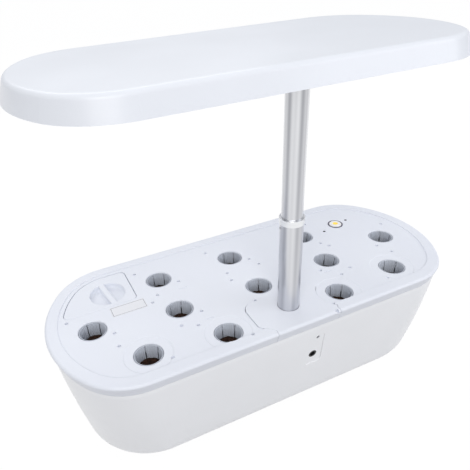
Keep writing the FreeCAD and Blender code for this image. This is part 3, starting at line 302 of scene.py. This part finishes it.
def gridPiece(name, x, y, z, finish, body, wrap=False, keep=None, replaced=()):
    # a mesh from arrays indexed [row, column]; wrap joins the last column to the first,
    # and keep is an optional mask of the cells that stay
    rows, columns = x.shape
    points = np.stack([x, y, z], axis=-1).reshape(-1, 3)
    index = np.arange(rows * columns).reshape(rows, columns)
    right = np.roll(index, -1, axis=1) if wrap else index[:, 1:]
    left = index if wrap else index[:, :-1]
    quads = np.stack([left[:-1], right[:-1], right[1:], left[1:]], axis=-1)
    if keep is not None:
        quads = quads[keep]
    mesh = bpy.data.meshes.new(name)
    mesh.from_pydata(points.tolist(), [], quads.reshape(-1, 4).tolist())
    return finishMesh(mesh, finish, body, replaced)


def finishMesh(mesh, finish, body, replaced=()):
    mesh.validate()
    mesh.materials.append(finishes[finish])
    piece = bpy.data.objects.new(mesh.name, mesh)
    bpy.context.scene.collection.objects.link(piece)
    weldMesh(mesh)
    mesh.shade_smooth()
    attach(piece, body)
    if replaced:
        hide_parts(*replaced)
    return piece


def weldMesh(mesh):
    # poles and seams closed by merging doubles, faces turned outwards
    work = bmesh.new()
    work.from_mesh(mesh)
    bmesh.ops.remove_doubles(work, verts=work.verts, dist=1e-6)
    bmesh.ops.recalc_face_normals(work, faces=work.faces)
    work.to_mesh(mesh)
    work.free()


# pod baskets and grow sponges

podTurns = (45, 28, 41, 2, 33, 38, 0, 14, 2, 38, 23, 48)
basketShape = {
    "wall": 0.8 * mm, "ribs": 36, "ribHeight": 0.2 * mm, "steps": 180, "slits": 6, "slitCells": 3,
    "taper": 2.6 * mm, "neck": 0.9 * mm, "lip": 5.0 * mm, "edgeGap": 0.05 * mm,
    "slitFoot": 5.0 * mm, "slitHead": 1.2 * mm, "floorRound": 1.6 * mm,
}
spongeShape = {"below": 13.7 * mm, "long": 30.0 * mm, "gap": 0.05 * mm, "crumb": 0.35 * mm,
               "steps": 72, "crown": 0.6 * mm, "edge": 1.2 * mm}


def basketSizes(number):
    # the middle of the wall: mouth just inside the node's box, neck under the lip, narrow foot
    shape = basketShape
    low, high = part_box("pod_basket_%02d" % number)
    mouthR = (high[0] - low[0]) / 2 - shape["wall"] / 2 - shape["ribHeight"] - shape["edgeGap"]
    neckR = mouthR - shape["neck"]
    return {"x": (low[0] + high[0]) / 2, "y": (low[1] + high[1]) / 2, "mouthR": mouthR, "neckR": neckR,
            "footR": neckR - shape["taper"] + shape["neck"], "foot": low[2] + shape["wall"] / 2,
            "neck": high[2] - shape["lip"], "top": high[2]}


def podBasket(number, turn):
    # a turned cup: radius from the floor, up the tapered wall to the wider mouth, fluted by a
    # cosine of the angle and open at six narrow slits
    shape = basketShape
    size = basketSizes(number)
    node = "pod_basket_%02d" % number
    cx, cy, foot = size["x"], size["y"], size["foot"]
    wallZ = np.linspace(foot + shape["floorRound"], size["neck"], 24)
    wallR = np.interp(wallZ, [foot, size["neck"]], [size["footR"], size["neckR"]])
    mouthZ = np.linspace(size["neck"], size["top"], 7)[1:]
    mouthR = np.interp(mouthZ, [size["neck"], size["top"]], [size["neckR"], size["mouthR"]])
    bend = np.radians(np.linspace(0, 80, 5))
    roundR = size["footR"] - shape["floorRound"] * (1 - np.sin(bend))
    roundZ = foot + shape["floorRound"] * (1 - np.cos(bend))
    r = np.concatenate([size["footR"] * np.array([0.0, 0.3, 0.6]), roundR, wallR, mouthR])
    z = np.concatenate([[foot] * 3, roundZ, wallZ, mouthZ])
    angle = np.radians(turn) + 2 * np.pi * np.arange(shape["steps"]) / shape["steps"]
    isWall = ((z > foot + 3 * mm) & (z < size["top"])).astype(float)
    flute = shape["ribHeight"] * np.cos(shape["ribs"] * (angle[None, :] - np.radians(turn)))
    radius = r[:, None] + isWall[:, None] * flute
    x = cx + radius * np.cos(angle)[None, :]
    y = cy + radius * np.sin(angle)[None, :]
    heights = np.repeat(z[:, None], shape["steps"], axis=1)
    column = np.arange(shape["steps"])
    period = shape["steps"] // shape["slits"]
    inSlit = (column + 1) % period < shape["slitCells"]
    midZ = (z[:-1] + z[1:]) / 2
    inBand = (midZ > foot + shape["slitFoot"]) & (midZ < size["top"] - shape["slitHead"])
    keep = ~(inBand[:, None] & inSlit[None, :])
    piece = gridPiece("podBasket%02d" % number, x, y, heights, "basket", node.replace("pod_", ""),
                      wrap=True, keep=keep, replaced=(node,))
    solid = piece.modifiers.new("wall", "SOLIDIFY")
    solid.thickness = shape["wall"]
    solid.offset = 0
    solid.use_even_offset = True


def growSpongePlug(number):
    # a crumbly plug that follows the basket's taper, its side and top roughened by summed sines
    shape = spongeShape
    size = basketSizes(number)
    top = size["top"] - shape["below"]
    foot = top - shape["long"]
    angle = 2 * np.pi * np.arange(shape["steps"]) / shape["steps"]
    inset = basketShape["wall"] / 2 + basketShape["ribHeight"] + shape["gap"] + shape["crumb"] / 3
    topR, footR = (np.interp(z, [size["foot"], size["neck"]], [size["footR"], size["neckR"]]) - inset
                   for z in (top, foot))
    spread = np.concatenate([np.linspace(0, 1, 14), np.linspace(1, footR / topR, 6), [0.4, 0.0]])
    level = np.concatenate([np.full(14, top), np.linspace(top - shape["edge"], foot, 6), [foot, foot]])
    grid = np.arange(len(spread))[:, None]
    rough = sum(np.sin(k * angle[None, :] + phase * grid + number) for k, phase in ((5, 1.7), (9, 2.3), (16, 3.1)))
    crown = shape["crown"] * (1 - spread[:, None] ** 2)
    onTop = (level > top - 0.1 * mm)[:, None] & (spread[:, None] > 0)
    radius = topR * spread[:, None] + np.where(onTop, 0, shape["crumb"] / 9 * rough) * (spread[:, None] > 0.5)
    height = level[:, None] + np.where(onTop, shape["crumb"] / 3 * rough - crown, 0)
    x = size["x"] + radius * np.cos(angle)[None, :]
    y = size["y"] + radius * np.sin(angle)[None, :]
    gridPiece("growSponge%02d" % number, x, y, height, "sponge", "basket_%02d" % number, wrap=True)


for number, turn in enumerate(podTurns, start=1):
    podBasket(number, turn)
    growSpongePlug(number)
print("baskets and sponges ready")


# camera at the photograph's viewing angle

cameraSet = {"azimuth": -22.362, "elevation": 31.545, "roll": -4.067, "focal": 470.87, "frame": 470.0,
             "centreX": 203.55, "centreY": 242.57, "place": (-0.1928, -0.3450, 0.4145), "sensor": 36.0}


def addCamera():
    shape = cameraSet
    az, el, roll = (math.radians(shape[key]) for key in ("azimuth", "elevation", "roll"))
    back = Vector((math.sin(az) * math.cos(el), -math.cos(az) * math.cos(el), math.sin(el)))
    right = Vector((math.cos(az), math.sin(az), 0))
    up = back.cross(right)
    rolledRight = right * math.cos(roll) + up * math.sin(roll)
    rolledUp = up * math.cos(roll) - right * math.sin(roll)
    data = bpy.data.cameras.new("camera")
    data.sensor_width = shape["sensor"]
    data.lens = shape["sensor"] * shape["focal"] / shape["frame"]
    data.shift_x = 0.5 - shape["centreX"] / shape["frame"]
    data.shift_y = shape["centreY"] / shape["frame"] - 0.5
    camera = bpy.data.objects.new("camera", data)
    turn = Matrix((rolledRight, rolledUp, back)).transposed().to_4x4()
    camera.matrix_world = Matrix.Translation(shape["place"]) @ turn
    bpy.context.scene.collection.objects.link(camera)
    bpy.context.scene.camera = camera


addCamera()


# floor, world and lamps

stageSet = {"floor": 14.0, "floorColor": "A6A6A9", "worldColor": "F6F8FC", "worldLight": 0.66,
            "keyPower": 14.5, "fillPower": 6.0, "backPower": 9.0, "paperShare": 0.12, "glow": 1.1}


def addArea(name, place, target, size, power, tint="FFFFFF"):
    data = bpy.data.lights.new(name, "AREA")
    data.shape = "RECTANGLE"
    data.size, data.size_y = size
    data.energy = power
    data.color = hexToLinear(tint)[:3]
    lamp = bpy.data.objects.new(name, data)
    aim = Vector(target) - Vector(place)
    lamp.matrix_world = Matrix.Translation(place) @ aim.to_track_quat("-Z", "Y").to_matrix().to_4x4()
    bpy.context.scene.collection.objects.link(lamp)


def isSeen(tree):
    # 1 for camera, glossy and transmission rays, so that metal shows the same background
    path = addNode(tree, "ShaderNodeLightPath")
    first = addNode(tree, "ShaderNodeMath", {0: path.outputs["Is Camera Ray"], 1: path.outputs["Is Glossy Ray"]},
                    operation="ADD")
    return addNode(tree, "ShaderNodeMath", {0: first.outputs[0], 1: path.outputs["Is Transmission Ray"]},
                   operation="ADD", use_clamp=True).outputs[0]


def addStage():
    half = stageSet["floor"]
    mesh = bpy.data.meshes.new("floor")
    mesh.from_pydata([(-half, -half, 0), (half, -half, 0), (half, half, 0), (-half, half, 0)], [], [(0, 1, 2, 3)])
    floor = bpy.data.objects.new("floor", mesh)
    bpy.context.scene.collection.objects.link(floor)
    material = bpy.data.materials.new("paperFloor")
    material.use_nodes = True
    tree = material.node_tree
    tree.nodes.clear()
    paper = addNode(tree, "ShaderNodeBsdfDiffuse", {"Color": hexToLinear(stageSet["floorColor"])})
    white = addNode(tree, "ShaderNodeEmission", {"Color": (1, 1, 1, 1), "Strength": stageSet["glow"]})
    share = addNode(tree, "ShaderNodeMath", {0: isSeen(tree), 1: 1 - stageSet["paperShare"]}, operation="MULTIPLY")
    mix = addNode(tree, "ShaderNodeMixShader", {0: share.outputs[0], 1: paper.outputs[0], 2: white.outputs[0]})
    output = addNode(tree, "ShaderNodeOutputMaterial")
    tree.links.new(mix.outputs[0], output.inputs["Surface"])
    mesh.materials.append(material)

    world = bpy.data.worlds.new("studio")
    bpy.context.scene.world = world
    world.use_nodes = True
    tree = world.node_tree
    tree.nodes.clear()
    path = addNode(tree, "ShaderNodeLightPath")
    light = addNode(tree, "ShaderNodeBackground", {"Color": hexToLinear(stageSet["worldColor"]),
                                                   "Strength": stageSet["worldLight"]})
    shown = addNode(tree, "ShaderNodeBackground", {"Color": (1, 1, 1, 1), "Strength": 1.0})
    mix = addNode(tree, "ShaderNodeMixShader", {0: path.outputs["Is Camera Ray"], 1: light.outputs[0],
                                                2: shown.outputs[0]})
    output = addNode(tree, "ShaderNodeOutputWorld")
    tree.links.new(mix.outputs[0], output.inputs["Surface"])


addStage()
addArea("keyLight", (-0.75, -1.35, 1.4), (0, 0, 0.15), (1.2, 1.2), stageSet["keyPower"], "FFFDFA")
addArea("fillLight", (1.2, -1.0, 0.9), (0, 0, 0.15), (1.0, 1.0), stageSet["fillPower"], "F8FAFF")
addArea("backLight", (0.2, 1.5, 1.6), (0, 0, 0.2), (1.8, 1.4), stageSet["backPower"], "FBFCFF")
bpy.context.scene.view_settings.view_transform = "Standard"

print("scene ready")
